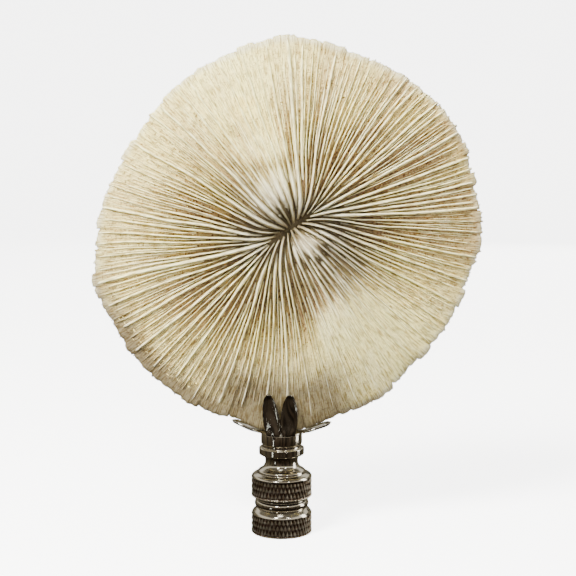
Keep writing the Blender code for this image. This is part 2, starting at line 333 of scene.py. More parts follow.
def spoke_place(share, angle):
    """X and Z on a spoke, which leaves the mouth along its slit and bends towards the rim."""
    share, angle = np.broadcast_arrays(share, angle)
    slit = np.array([math.cos(MOUTH_ANGLE), math.sin(MOUTH_ANGLE)])
    square = np.array([-slit[1], slit[0]])
    cosine = np.cos(angle - MOUTH_ANGLE)[..., None]
    sine = np.sin(angle - MOUTH_ANGLE)[..., None]
    start = MOUTH_SHIFT + slit * MOUTH_HALF_LENGTH * cosine + square * MOUTH_HALF_WIDTH * sine
    outwards = np.stack([np.cos(angle), np.sin(angle)], axis=-1)
    end = outwards * rim_radius(angle)[..., None]
    bend = (slit - outwards * cosine) * cosine * SPOKE_BEND * CORAL_RADIUS
    t = share[..., None]
    return CENTRE + start * (1 - t) + end * t + t * (1 - t) * np.exp(-t / SPOKE_REACH) * bend


def spoke_pitch(share, angle):
    """Width that one septum in SEPTA has at a share of the way out."""
    step = 0.5 * SEPTUM_PITCH
    sides = spoke_place(share, angle + step) - spoke_place(share, angle - step)
    return np.hypot(sides[..., 0], sides[..., 1])


def lobe(angle, towards, spread):
    """1 at an angle in degrees, and less away from it."""
    return np.exp(-((np.degrees(wrapped(angle - math.radians(towards))) / spread) ** 2))


def lobes(angle, parts):
    """Sum of lobes, each given as its direction and spread in degrees and its height."""
    return sum(height * lobe(angle, towards, spread) for towards, spread, height in parts)


# Lobes around the disc: direction, spread and height

BARE_RIM = ((268, 26, 1.2), (228, 26, 1.3), (118, 42, 0.3))
FADING = ((252, 38, 0.85), (118, 35, 0.35))
STANDING_OUT = ((94, 26, 0.5), (5, 26, 0.4), (197, 13, 0.35))
SEATED = ((262, 4.5, 0.8), (275.5, 5, 0.5))
SHALLOWER = ((12, 42, -0.22), (290, 45, 0.14))
# Painted light and shade on the gap floors: lighter low on the right, darker on the right,
# following the key light
FLOOR_LIGHT = ((305, 45, 0.2), (20, 42, -0.18))


def bare_rim(angle):
    """Width of the rim beyond the blades' ends: wide at the lower left and the foot."""
    return MM * (0.3 + lobes(angle, BARE_RIM))


def fading(angle):
    """How far blades and gaps fade out on the rim: wholly at the foot and the lower left."""
    return np.clip(0.1 + lobes(angle, FADING), 0, 1)


def fused_and_lit_sector(share, angle):
    """Up to 1 above the mouth and low on the disc, where the gaps are narrow and pale: partly fused
    septa, partly painted light where the key runs along the grooves.
    """
    upper = np.maximum(lobe(angle, 108, 22), 0.25 * lobe(angle, 64, 16))
    lower = lobe(angle, 303, 42) * smooth_step(0.37, 0.52, share)
    return np.maximum(upper, lower)


def filled(place):
    """1 on the places that lime has filled, with ragged edges, and 0 elsewhere."""
    offset = place - CENTRE
    ragged = 0.36 * noise(np.arctan2(offset[..., 1], offset[..., 0]) * 45, 41)
    most = np.zeros(place.shape[:-1])
    for x, z, wide, tall, fully in FILLED:
        beside = (offset[..., 0] / MM - x) / wide
        above = (offset[..., 1] / MM - z) / tall
        near = 1 - smooth_step(0.3, 1.3, np.hypot(beside, above) + ragged)
        most = np.maximum(most, fully * near)
    return most


def septum_groups():
    """Septa in groups of two to four: how far each stands out, and its start and count."""
    random = np.random.default_rng(11)
    groups = []
    while len(groups) < SEPTA:
        count = min(int(random.integers(2, 5)), SEPTA - len(groups))
        groups += [(random.uniform(-0.55, 0.25), len(groups), count)] * count
    return np.array(groups)


GROUPS = septum_groups()


def in_group(angle):
    """An angle's place in the row of septa, and its group's step, first septum and count."""
    place = ((np.asarray(angle) % TAU) / SEPTUM_PITCH + 0.5) % SEPTA
    step, first, count = np.moveaxis(GROUPS[np.floor(place).astype(int)], -1, 0)
    return place, step, first, count


def edge_steps(angle):
    """The rim's broken edge: a shallow scallop for every group of septa, in steps."""
    place, step, first, count = in_group(angle)
    scallop = np.abs(2 * (place - first) / count - 1) ** 4
    chips = 0.16 * noise(place * 1.7, 12) + 0.1 * noise(place * 4, 13)
    chips += lobes(angle, STANDING_OUT)
    free = 1 - lobe(angle, 268, 13)
    held = 0.12 * (1 - free) + lobes(angle, SEATED)
    return MM * ((step + chips - 0.2 * scallop) * free + held)


def group_line(angle):
    """1 on the thin line between two groups of septa."""
    place, _, first, count = in_group(angle)
    nearest = np.minimum(place - first, first + count - place)
    return np.exp(-((nearest / 0.12) ** 2))


# Coral: the body between and behind the blades

BODY_PHASES = (0.0, 0.33, 0.5, 0.67)
BODY_COLUMNS = len(BODY_PHASES) * SEPTA
FRONT_RINGS = 76
BACK_RINGS = 40
LEAST_DROP = 0.12 * MM

# Where the broken edge begins, as a share of the way out
EDGE_START = 0.86


def gap_phase(angle):
    """0 under a blade and 1 in the middle of the gap between two blades."""
    return 0.5 - 0.5 * np.cos(TAU * angle / SEPTUM_PITCH)


def floor_drop(share, angle):
    """Depth of the gaps' floor below the crests: deep inside, and shallow at the rim."""
    shallower = 0.6 + lobes(angle, SHALLOWER)
    deep = GAP_DEPTH * (1 - shallower * smooth_step(0.2, 0.8, share))
    uneven = 0.12 * MM * noise(share * 55 + 31 * np.round(angle / SEPTUM_PITCH), 5)
    at_rim = smooth_step(0.95, 1, share)
    fall = 1 - (0.7 + 0.2 * fading(angle)) * at_rim
    fall = fall * (1 - 0.4 * fused_and_lit_sector(share, angle) * smooth_step(0.15, 0.35, share))
    fall = fall * (1 - filled(spoke_place(share, angle)))
    return (deep + uneven) * fall + LEAST_DROP


def deep_share(drop):
    """0 where a gap is shallow and 1 where it is deep."""
    return smooth_step(0.1 * MM, 1.2 * MM, drop)


def radially(place, distance):
    """Places moved outwards by a distance."""
    out = place - CENTRE
    out = out / np.linalg.norm(out, axis=-1, keepdims=True)
    return place + out * np.asarray(distance)[..., None]


def front_body(angles):
    """Points and tones of the body's front, from beside the mouth out to the rim."""
    turns = math.pi / 2 * np.arange(FRONT_RINGS) / (FRONT_RINGS - 1)
    share, angle = np.meshgrid(np.sin(turns) ** 1.1, angles, indexing="ij")
    place = spoke_place(share, angle)
    drop = floor_drop(share, angle)
    turned = share**RIM_POWER
    line = group_line(angle) * smooth_step(0.8, 0.95, share)
    depth = front_depth(place) + mouth_dip(place) + (drop + 0.15 * MM * line) * (1 - turned)
    edge = (edge_steps(angle) - 0.12 * MM * line) * smooth_step(EDGE_START, 1.0, share)
    place = radially(place, edge - 0.8 * (drop - LEAST_DROP) * turned)
    # Gap floors darken with depth, partly stain and partly painted shade, and take painted light
    # and shade by direction
    floor_light = 0.3 + lobes(angle, FLOOR_LIGHT)
    floor = 0.85 - floor_light * smooth_step(0.4, 0.75, share)
    tone = 0.85 - floor * deep_share(drop) - 0.5 * line
    return at_depth(place, depth), tone


def back_body(angles):
    """Points and tones of the body's back, from the rim in to the middle."""
    turns = math.pi / 2 * np.arange(BACK_RINGS - 1, 0, -1) / BACK_RINGS
    share, angle = np.meshgrid(np.sin(turns) ** 0.8, angles, indexing="ij")
    place = spoke_place(share, angle)
    ribs = 0.34 * MM * gap_phase(angle) * smooth_step(0.25, 0.7, share)
    coarse = 0.16 * MM * np.cos(math.pi * angle / SEPTUM_PITCH)
    grains = 0.14 * MM * noise(share * 140 + 17 * np.round(angle / SEPTUM_PITCH), 8)
    scar = 0.5 * MM * np.exp(-(((share - 0.16) / 0.045) ** 2))
    sunk = ribs + (coarse + grains) * smooth_step(0.1, 0.5, share) - scar
    turned = share**RIM_POWER
    depth = back_depth(place) - sunk * (1 - turned)
    edge = edge_steps(angle) * smooth_step(EDGE_START, 1.0, share)
    inset = 0.8 * (floor_drop(np.ones(1), angle) - LEAST_DROP)
    place = radially(place, edge - (0.3 * sunk + inset) * turned)
    tone = 0.92 - 0.5 * gap_phase(angle) * smooth_step(0.2, 0.6, share)
    return at_depth(place, depth), tone


def stain(share, angle):
    """How brown the gaps are: least in the sectors above the mouth and low on the disc, where this
    paints light, and near the rim.
    """
    patches = 0.35 * noise(angle * 9, 21) + 0.25 * noise(share * 7 + angle * 3, 22)
    # Less brown in those sectors: painted light, partly paler fused septa
    brown = 0.85 + patches - 0.75 * fused_and_lit_sector(share, angle)
    inwards = 1 - 0.5 * np.exp(-((share / 0.2) ** 2))
    paler = (0.5 - 0.38 * lobe(angle, 22, 45)) * smooth_step(0.45, 0.95, share)
    return np.clip(brown * inwards * (1 - paler), 0, 1)


def oval(place, turn, half_length, half_width):
    """1 at the mouth and 0 far from it, over an oval turned by an angle."""
    along, across = from_mouth(place, turn)
    return np.exp(-((along / half_length) ** 2) - (across / half_width) ** 2)


def spot(place, x, z, spread):
    """1 at a place X and Z from the mouth, in millimetres, and less away from it."""
    beside, above = from_mouth(place)
    distance = np.hypot(beside - x * MM, above - z * MM)
    return np.exp(-((distance / (spread * MM)) ** 2))


def mouth_core(place):
    """1 in the mouth's slit and 0 away from it."""
    return oval(place, MOUTH_ANGLE, 4.6 * MM, 2.1 * MM)


def dusk(place):
    """1 around the mouth, above all to its left and right, and 0 far from it: where painted shade,
    partly dirt, darkens the coral.
    """
    return oval(place, DUSK_ANGLE, 13 * MM, 5 * MM)


def rim_painted_shade(place):
    """1 on the rim at the foot and the lower left: painted shade, where the rim curves away from
    the light and meets the crown.
    """
    share, angle = disc_share(place)
    foot = np.minimum(1, 1.7 * lobe(angle, 269, 23)) * smooth_step(0.6, 0.82, share)
    left = np.minimum(1, 1.3 * lobe(angle, 230, 32)) * smooth_step(0.82, 0.96, share)
    return np.maximum(foot, left)


def gloom(place):
    """Share of its paleness that the coral keeps under painted shade: little in the mouth, more
    around it.
    """
    right = spot(place, 11, -7, 8)
    return (1 - 0.85 * mouth_core(place)) * (1 - 0.25 * dusk(place)) * (1 - 0.22 * right)


# Spots of painted shade, partly grey dirt, near the mouth: X and Z from it and spread in
# millimetres, and how grey they make it

SHADE_SPOTS = ((11, -7, 9, 0.6), (-4.5, 7, 7, 0.6), (0, -4, 13, 0.5))


def shade_and_dirt_greyness(place):
    """How far the coral turns grey, from 0 to 1: painted shade, partly dirt, around its mouth,
    painted shade at its foot and lower left, and a greyer edge on its rim.
    """
    spots = sum(darkening * spot(place, x, z, spread) for x, z, spread, darkening in SHADE_SPOTS)
    edge = 0.55 * smooth_step(0.95, 0.985, disc_share(place)[0])
    return np.clip(dusk(place) + spots + rim_painted_shade(place) + edge, 0, 1)


def build_body(surface):
    """The coral's body: one closed skin with a point at the mouth and one at the back."""
    phases = np.arange(SEPTA)[:, None] + np.array(BODY_PHASES)
    angles = phases.ravel() * SEPTUM_PITCH
    front, front_tone = front_body(angles)
    back, back_tone = back_body(angles)
    middle = CENTRE + np.array(MOUTH_SHIFT)
    mouth = [middle[0], front_depth(middle) + MOUTH_DEPTH + GAP_DEPTH, middle[1]]
    heel = [CENTRE[0], back_depth(CENTRE), CENTRE[1]]
    rings = np.concatenate([front, back])
    points = np.concatenate([rings.reshape(-1, 3), [mouth, heel]])
    place = points[:, [0, 2]]
    share, angle = disc_share(place)
    in_front = points[:, 1] < RIM_DEPTH
    tone = np.concatenate([front_tone.ravel(), back_tone.ravel(), [0.0, 0.9]])
    shells = Shells()
    shells.add(
        points,
        pointed_faces(len(rings), BODY_COLUMNS),
        # The tone takes painted shade in and around the mouth and on the rim at the foot and lower
        # left
        tone=tone * np.where(in_front, gloom(place) * (1 - 0.9 * rim_painted_shade(place)), 1.0),
        stain=stain(share, angle),
        shade=shade_and_dirt_greyness(place) * in_front,
        fibre=np.concatenate([np.tile(angles, len(rings)), [0.0, 0.0]]),
        along=share,
    )
    shells.build("coral_body", surface, "coral_disc")


# Coral: the blades, in five cycles from the oldest, which reach the mouth, to the fine last ones

SEPTUM_SPACING = (8, 4, 2, 1, 0.5)
SEPTUM_STARTS = (0.0, 0.06, 0.17, 0.33, 0.52)
SEPTUM_RISES = (0.05, 0.1, 0.14, 0.14, 0.1)
SEPTUM_LOWERED = (0.0, 0.08 * MM, 0.24 * MM, 0.42 * MM, 0.6 * MM)
SEPTUM_HALF_WIDTHS = (0.28 * MM, 0.21 * MM, 0.18 * MM, 0.14 * MM, 0.1 * MM)
SEPTUM_PLATES = (4, 4, 2, 1, 0)
SEPTUM_TONES = (1.0, 0.98, 0.95, 0.88, 0.8)
# How far the painted shade on the rim darkens the blades of each cycle
SEPTUM_RIM_SHADE = (0.2, 0.35, 0.7, 0.8, 0.85)
FINE_CYCLE = 4
LEAST_HEIGHT = 0.2 * MM

# A blade's section: how far down and how far aside its points lie, as shares
BLADE_LEVELS = np.array([1.0, 0.5, 0.2, 0.06, 0.0, 0.06, 0.2, 0.5, 1.0])
BLADE_SIDES = np.array([-1.35, -1.05, -0.7, -0.3, 0.0, 0.3, 0.7, 1.05, 1.35])
FINE_LEVELS = np.array([1.0, 0.25, 0.0, 0.25, 1.0])
FINE_SIDES = np.array([-1.4, -0.8, 0.0, 0.8, 1.4])


def septum_cycle(place):
    """The cycle of the blade at a place in the row."""
    for cycle, spacing in enumerate(SEPTUM_SPACING):
        if place % spacing == 0:
            return cycle
    raise ValueError(place)


def septum_shares(start, end, step):
    """Where a blade has its stations, closer together near its outer end."""
    count = int((end - start) * CORAL_RADIUS / step) + 6
    return end - (end - start) * (1 - np.linspace(0, 1, count)) ** 1.2


class Blade:
    """One septum: a closed wall with a toothed crest that sinks into the rim."""

    def __init__(self, place_in_row):
        self.seed = int(2 * place_in_row)
        random = np.random.default_rng(1000 + self.seed)
        self.cycle = septum_cycle(place_in_row)
        self.angle = SEPTUM_PITCH * (place_in_row + random.uniform(-0.22, 0.22))
        self.fade = float(fading(self.angle))
        aside = 0.09 * (1 - abs(math.sin(self.angle - MOUTH_ANGLE)))
        self.start = SEPTUM_STARTS[self.cycle] * random.uniform(0.8, 1.2) + aside
        margin = float(bare_rim(self.angle)) * random.uniform(-0.3, 1.7)
        self.end = 1 + (float(edge_steps(self.angle)) - max(margin, -0.15 * MM)) / CORAL_RADIUS
        self.standing = random.uniform(-1, 1)
        self.taper = random.uniform(0.02, 0.02 + 0.035 * self.fade)
        self.swelling = random.uniform(-0.4, 0.7)
        self.lean = random.uniform(-0.12, 0.12) * MM
        fine = self.cycle == FINE_CYCLE
        self.share = septum_shares(self.start, self.end, STATION * (1.4 if fine else 1.0))
        self.distance = self.share * CORAL_RADIUS / MM
        self.levels, self.sides = (FINE_LEVELS, FINE_SIDES) if fine else (BLADE_LEVELS, BLADE_SIDES)
        self.drop = floor_drop(self.share, self.angle)
        self.sinking = smooth_step(self.end - self.taper, self.end, self.share)

    def path(self):
        """X and Z along the blade, which sways a little, and the direction across it."""
        place = spoke_place(self.share, np.full(len(self.share), self.angle))
        along = np.gradient(place, axis=0)
        along /= np.linalg.norm(along, axis=-1, keepdims=True)
        across = np.stack([-along[:, 1], along[:, 0]], -1)
        shared = 0.24 * noise(self.distance / 13 + self.angle * 2, 31)
        sway = shared + 0.13 * noise(self.distance / 8, 2000 + self.seed)
        sway *= MM * smooth_step(0.08, 0.4, self.share)
        return place + across * sway[:, None], across

    def crest(self, place):
        """Y of the crest, and the height of the wall below it."""
        share, drop, cycle = self.share, self.drop, self.cycle
        settled = smooth_step(0.1, 0.3, share)
        lowered = SEPTUM_LOWERED[cycle] + 0.12 * MM * (1 - self.standing) * settled
        rising = 1 - smooth_step(self.start, self.start + SEPTUM_RISES[cycle], share)
        rising = rising * (0.5 * MM if cycle == 0 else drop)
        sinking = self.sinking * (drop + 0.15 * MM) * self.fade
        teeth = 0.06 * noise(self.distance / 0.75, 3000 + self.seed)
        teeth = teeth + 0.07 * noise(self.distance / 2.5, self.seed)
        sunk = np.minimum(lowered, 0.6 * drop) + rising + sinking - teeth * MM
        crest = front_depth(place) + mouth_dip(place) + sunk
        height = np.maximum(0.25 * MM, drop - sunk + 0.35 * MM)
        height = np.minimum(height, back_depth(place) - crest - GAP)
        return crest, np.maximum(LEAST_HEIGHT, height)

    def half_width(self):
        """Half the blade's thickness: more near the mouth and in plates, less at its ends."""
        share, cycle = self.share, self.cycle
        pitch = spoke_pitch(share, self.angle)
        wide = SEPTUM_HALF_WIDTHS[cycle] * (1 + 0.52 * self.standing)
        wide = wide * (1 + 0.15 * noise(self.distance / 4, 4000 + self.seed))
        wide = wide * (1 + self.swelling * (1 - smooth_step(0.1, 0.4, share)))
        plate = 0.42 * pitch * SEPTUM_PLATES[cycle] * (1 - smooth_step(0.22, 0.42, share))
        wide = np.maximum(wide, plate * fused_and_lit_sector(share, self.angle))
        wide = np.minimum(wide, 0.36 * pitch * SEPTUM_SPACING[cycle] + 0.02 * MM)
        wide = wide * (1 - 0.6 * self.fade * self.sinking)
        started = smooth_step(self.start, self.start + 0.06, share)
        return wide * (1 if cycle == 0 else 0.4 + 0.6 * started)

    def tone(self, place):
        """How pale the blade is: most on its crest, less down its sides in deep gaps (stain and
        painted shade), with painted shade in the mouth and on the rim at the foot and lower left.
        """
        crest_tone = SEPTUM_TONES[self.cycle] + 0.09 * self.standing
        shallow = 0.85 - 0.85 * deep_share(self.drop)
        tone = np.maximum(crest_tone * (1 - self.levels) ** 1.2, shallow[:, None])
        shade_share = SEPTUM_RIM_SHADE[self.cycle] * rim_painted_shade(place)
        return tone * (gloom(place) * (1 - shade_share))[:, None]

    def add_to(self, shells):
        """Adds the blade's shell, with its colours."""
        place, across = self.path()
        crest, height = self.crest(place)
        side = self.half_width()[:, None] * self.sides + self.lean * self.levels
        depth = crest[:, None] + height[:, None] * self.levels
        spread = place[:, None] + across[:, None] * side[..., None]
        from_middle = 0.1 * CORAL_RADIUS + self.share * CORAL_RADIUS
        shells.add(
            at_depth(spread, depth),
            tube_faces(len(self.share), len(self.levels)),
            tone=self.tone(place),
            stain=stain(self.share, self.angle)[:, None],
            shade=shade_and_dirt_greyness(place)[:, None],
            fibre=self.angle + side / from_middle[:, None],
            along=self.share[:, None],
        )


def build_septa(surface):
    """The blades in four pieces: the ones that reach the mouth, the next, the last, the fine."""
    groups = (
        ("coral_first_septa", np.arange(0, SEPTA, 4.0)),
        ("coral_second_septa", np.arange(2, SEPTA, 4.0)),
        ("coral_last_septa", np.arange(1, SEPTA, 2.0)),
        ("coral_fine_septa", np.arange(0.5, SEPTA, 1.0)),
    )
    for name, places in groups:
        shells = Shells()
        for place in places:
            Blade(float(place)).add_to(shells)
        shells.build(name, surface, "coral_disc")


# Coral: the small cross bars that tie neighbouring blades together

BAR_SIDES = 6
BAR_HEIGHTS = np.array([-0.62, 0.0, 0.62])
BARS_START = 0.46
BARS_END = 0.98
BAR_LEAST_DROP = 0.9 * MM


def bar_template():
    """Points of a unit bead along its third axis, and its faces."""
    radii = np.sqrt(1 - BAR_HEIGHTS**2)
    rings = around(radii[:, None], full_turn(BAR_SIDES), BAR_HEIGHTS[:, None])
    points = np.concatenate([rings.reshape(-1, 3), [[0, 0, -1], [0, 0, 1]]])
    return points, pointed_faces(len(BAR_HEIGHTS), BAR_SIDES)


def add_bar(template, place, share, middle, angle, random, shells):
    """Adds one cross bar at a place in the gap around a middle angle."""
    unit, faces = template
    sunk = float(floor_drop(share, middle)) * random.uniform(0.6, 1)
    radial = (place - CENTRE) / np.linalg.norm(place - CENTRE)
    across = np.array([-radial[1], radial[0]])
    width = float(spoke_pitch(share, middle)) * random.uniform(0.2, 0.4)
    u = unit[:, 2] * width
    v = unit[:, 0] * random.uniform(0.08, 0.15) * MM
    w = unit[:, 1] * random.uniform(0.1, 0.22) * MM
    spread = place + np.outer(u, across) + np.outer(v, radial)
    shells.add(
        at_depth(spread, float(front_depth(place)) + sunk + w),
        faces,
        tone=random.uniform(0.0, 0.45),
        stain=stain(share, middle),
        shade=0.0,
        fibre=angle,
        along=share,
    )


def build_crossbars(surface):
    """All the cross bars as one piece, about a millimetre apart along each gap."""
    random = np.random.default_rng(77)
    template = bar_template()
    shells = Shells()
    for index in range(SEPTA):
        middle = SEPTUM_PITCH * (index + 0.5)
        share = BARS_START + random.uniform(0, 0.03)
        end = BARS_END - 1.2 * float(bare_rim(middle)) / CORAL_RADIUS
        while share < end:
            angle = middle + SEPTUM_PITCH * random.uniform(-0.2, 0.2)
            place = spoke_place(share, angle)
            if filled(place) > 0.08 or float(floor_drop(share, middle)) < BAR_LEAST_DROP:
                share += 1.0 * MM / CORAL_RADIUS
                continue
            add_bar(template, place, share, middle, angle, random, shells)
            share += random.uniform(0.6, 1.5) * MM / CORAL_RADIUS
    shells.build("coral_crossbars", surface, "coral_disc")


# Base


def rounded_corners(corners, points=4):
    """A profile with each (radius, height, rounding) corner, in millimetres, cut by a curve."""
    profile = []
    for index, (radius, height, rounding) in enumerate(corners):
        here = np.array([radius, height])
        if rounding == 0 or index in (0, len(corners) - 1):
            profile.append(here)
            continue
        before = np.array(corners[index - 1][:2]) - here
        after = np.array(corners[index + 1][:2]) - here
        start = here + before * min(0.5, rounding / np.linalg.norm(before))
        end = here + after * min(0.5, rounding / np.linalg.norm(after))
        for t in np.linspace(0, 1, points):
            profile.append(start * (1 - t) ** 2 + 2 * here * t * (1 - t) + end * t * t)
    return np.array(profile) * MM


def knurl_rows(low, high):
    """Heights down a knurled band, close enough together to show its diamonds."""
    return np.arange(high, low, -0.12)


def base_corners():
    """(radius, height, rounding) down the outside of the base, in millimetres."""
    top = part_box("petal_crown")[0].z / MM
    corners = [(0.01, top, 0), (4.3, top, 0.15), (4.3, 18.85, 0.12), (4.02, 18.65, 0.1)]
    corners += [(4.02, 18.08, 0.08), (4.58, 18.04, 0.06), (4.72, 17.9, 0.06), (4.72, 17.75, 0)]
    corners += [(4.72, 16.8, 0), (4.72, 16.65, 0.08), (4.5, 16.46, 0.12), (3.62, 16.4, 0.15)]
    corners += [(3.48, 15.7, 0.3), (3.42, 15.1, 0.3), (3.5, 14.5, 0.3), (3.84, 13.92, 0.3)]
    corners += [(4.36, 13.5, 0.3), (4.86, 13.26, 0.15), (5.0, 13.05, 0.08), (5.06, 12.62, 0.12)]
    corners += [(6.05, 12.38, 0.2), (6.35, 11.9, 0.15)]
    corners += [(6.35, z, 0) for z in knurl_rows(8.0, 11.6)]
    corners += [(6.35, 7.9, 0.06), (6.15, 7.72, 0.06), (5.25, 7.6, 0.1), (5.15, 7.05, 0.1)]
    for turn in np.linspace(0, math.pi, 10)[1:-1]:
        corners.append((5.16 + 0.5 * math.sin(turn), 6.2 + 0.75 * math.cos(turn), 0))
    corners += [(5.18, 5.38, 0.06), (5.5, 5.16, 0.1), (6.08, 4.6, 0.2), (6.35, 4.05, 0.2)]
    corners += [(6.35, z, 0) for z in knurl_rows(0.2, 3.9)]
    corners += [(6.35, 0.14, 0.05), (6.2, 0.0, 0.05), (3.6, 0.0, 0.1), (3.5, 0.3, 0)]
    return corners


def knurl_shares(turn, height):
    """Where a point lies across the knurl's two sets of grooves: 0 is midway between grooves."""
    round_share = turn / TAU * KNURL_DIAMONDS
    up_share = (height - np.where(height < 6 * MM, *KNURL_STARTS)) / KNURL_PITCH
    return (round_share + up_share) % 1 - 0.5, (round_share - up_share) % 1 - 0.5


def knurl_height(turn, height):
    """Height of the knurl's pyramids, from 0 in the grooves to 1 at the points."""
    rising, falling = knurl_shares(turn, height)
    return 1 - 2 * np.maximum(np.abs(rising), np.abs(falling))


def knurl_side(turn, height):
    """Above 0 on the upper half of each pyramid and below 0 on its lower half."""
    rising, falling = knurl_shares(turn, height)
    return rising - falling


def between(low, high, edge, value):
    """1 between two heights and 0 outside them, with soft edges."""
    return smooth_step(low - edge, low, value) * (1 - smooth_step(high, high + edge, value))


def socket_points(sides):
    """Rings of the socket's threaded wall with a jacket inside the metal, as a closed loop."""
    rows = int(SOCKET_DEPTH / THREAD_PITCH * 8)
    turns = full_turn(sides)
    low, roof = SOCKET_LIP, SOCKET_DEPTH + JACKET_ROOF
    height, turn = np.meshgrid(np.linspace(low, SOCKET_DEPTH, rows), turns, indexing="ij")
    groove = np.abs(2 * ((height / THREAD_PITCH - turn / TAU) % 1) - 1)
    wall = around(SOCKET_RADIUS + THREAD_DEPTH * (0.5 - groove), turn, height)
    jacket = around(JACKET_RADIUS, turns, 0.0)
    centre = 0.001 * jacket
    rings = [(jacket, low), (centre, SOCKET_DEPTH), (centre, roof), (jacket, roof), (jacket, low)]
    rings = np.stack([ring + [0, 0, up] for ring, up in rings])
    return np.concatenate([rings[:1], wall, rings[1:]])


def build_base(surface):
    """The turned base with its fine knurl, and the thread in its socket."""
    profile = rounded_corners(base_corners())
    columns = 10 * KNURL_DIAMONDS
    outside = (profile[:, :1], full_turn(columns), profile[:, 1:])
    radius, turn, height = np.broadcast_arrays(*outside)
    banded = sum(between(low, high, KNURL_EDGE, height) for low, high in KNURL_BANDS)
    cut = banded * (1 - np.minimum(1, 1.06 * knurl_height(turn, height)))
    cut = cut * (radius > BAND_RADIUS - 0.4 * MM)
    radius = radius - cut * KNURL_DEPTH
    points = around(radius, turn, height)
    shells = Shells()
    knurled = banded * (radius > BAND_RADIUS - 0.4 * MM)
    # Painted shade on the lower face of each knurl pyramid, added to the grime in its grooves
    below = knurled * smooth_step(0.1, -0.1, knurl_side(turn, height))
    recess = np.clip(0.5 * cut + 0.5 * below, 0, 1)
    shells.add(points, tube_faces(len(profile), columns), recess=recess, soft=knurled)
    socket = socket_points(SOCKET_SIDES)
    shells.add(socket, grid_faces(len(socket), SOCKET_SIDES), recess=0.7, soft=0.5)
    shells.build("base_turning", surface, "knurled_base")


# Crown


def petal_half_width(share):
    """Half the width of a petal, from its root over its belly to its rounded tip."""
    root = COLLAR_RADIUS * math.sin(ROOT_HALF_ANGLE)
    belly = root + (PETAL_HALF_WIDTH - root) * smooth_step(0, PETAL_BELLY, share)
    past_belly = np.maximum(0.0, (share - PETAL_BELLY) / PETAL_TIP)
    return belly * np.sqrt(np.maximum(0.0, 1 - past_belly**1.9))


def face_petal(turn, share, across):
    """Points on the middle sheet of a petal that stands against a face of the coral."""
    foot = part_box("petal_crown")[0].z + 0.5 * SHEET
    in_front = math.cos(turn) > 0
    root_x = FACE_ROOT_INWARDS * COLLAR_RADIUS * math.sin(turn)
    root_turn = math.asin(root_x / COLLAR_RADIUS)
    root_y = math.copysign(COLLAR_RADIUS * math.cos(root_turn), -math.cos(turn))
    splay = FACE_SPLAY[int(root_x > 0)]
    side = -1.0 if in_front else 1.0
    surface_depth = front_depth if in_front else back_depth
    clearance = side * (GAP + 0.5 * SHEET)
    height = foot + FACE_PETAL_LENGTH * share
    tip = np.array([root_x + splay, foot + FACE_PETAL_LENGTH])
    lean = (float(surface_depth(tip)) + clearance - root_y) * share
    face_turn = (root_turn if in_front else -root_turn) * (1 - PETAL_UNTWIST * share)
    width = petal_half_width(share) * across
    sag = (1 - share) * (1 - np.cos(ROOT_HALF_ANGLE * across)) * COLLAR_RADIUS
    x = root_x + splay * share - side * np.cos(face_turn) * width
    y = root_y + lean - side * (np.sin(face_turn) * width + sag)
    limit = surface_depth(np.stack([x, height], -1)) + clearance
    y = np.minimum(y, limit) if in_front else np.maximum(y, limit)
    return np.stack([x, y, height], -1)


def edge_petal(turn, share, across):
    """Points on the middle sheet of a petal that reaches out under the coral's edge."""
    outwards = np.array([math.sin(turn), -math.cos(turn)])
    sideways = np.array([math.cos(turn), math.sin(turn)])
    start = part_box("petal_crown")[0].z + 0.5 * SHEET
    edge_x = EDGE_PETAL_REACH * outwards[0] - CENTRE[0]
    angle = math.asin(edge_x / float(rim_radius(-math.pi / 2))) - math.pi / 2
    tip = CENTRE[1] + float(rim_radius(angle)) * math.sin(angle) - 0.5 * SHEET
    reach = COLLAR_RADIUS + (EDGE_PETAL_REACH - COLLAR_RADIUS) * share
    place = outwards * reach[..., None] + sideways * (petal_half_width(share) * across)[..., None]
    height = start + (tip - start) * np.maximum(0.0, share) ** EDGE_PETAL_CURL
    return np.concatenate([place, height[..., None]], -1)


def petal_shell(turn, shells):
    """Adds one petal of thin sheet, dished between raised and rounded edges."""
    at_edge = abs(math.sin(turn)) > 0.9
    sheet_point = edge_petal if at_edge else face_petal
    shares = np.concatenate([np.linspace(-0.02, 0.88, 30), 1 - 0.11 * np.linspace(1, 0, 12) ** 2])
    widths = np.sin(np.linspace(-math.pi / 2, math.pi / 2, 24))
    share, across = np.meshgrid(shares, widths, indexing="ij")
    middle = sheet_point(turn, share, across)
    normal = np.cross(np.gradient(middle, axis=0), np.gradient(middle, axis=1))
    normal /= np.linalg.norm(normal, axis=-1, keepdims=True) + 1e-12
    outward = np.array([0.0, 0.0, 1.0] if at_edge else [math.sin(turn), -math.cos(turn), 0.0])
    if float(normal[20, 12] @ outward) < 0:
        normal = -normal
    grown = smooth_step(0.03, 0.25, share)
    near_tip = smooth_step(0.86, 1.0, share)
    side_bead = np.exp(-(((np.abs(across) - 0.9) / 0.09) ** 2)) * (1 - near_tip)
    bead = np.maximum(side_bead, 0.35 * np.exp(-(((share - 0.97) / 0.02) ** 2)))
    relief = MM * (0.26 * bead * grown - 0.24 * (1 - across**2) * grown * (1 - near_tip))
    relief += 0.05 * MM * np.sin(8 * share + 2.5 * across) * grown * (1 - across**2)
    sides = np.sqrt(np.maximum(0.0, 1 - np.abs(across) ** 10))
    end = np.sqrt(1 - 0.97 * smooth_step(0.93, 1.0, share))
    thick = 0.2 * MM * np.maximum(0.05, sides * end)
    outer = middle + normal * (relief + thick)[..., None]
    inner = middle + normal * (relief - thick)[..., None]
    loop = np.concatenate([outer, inner[:, ::-1]], 1)
    shells.add(loop, tube_faces(len(loop), loop.shape[1]), recess=0.0, soft=0.0)


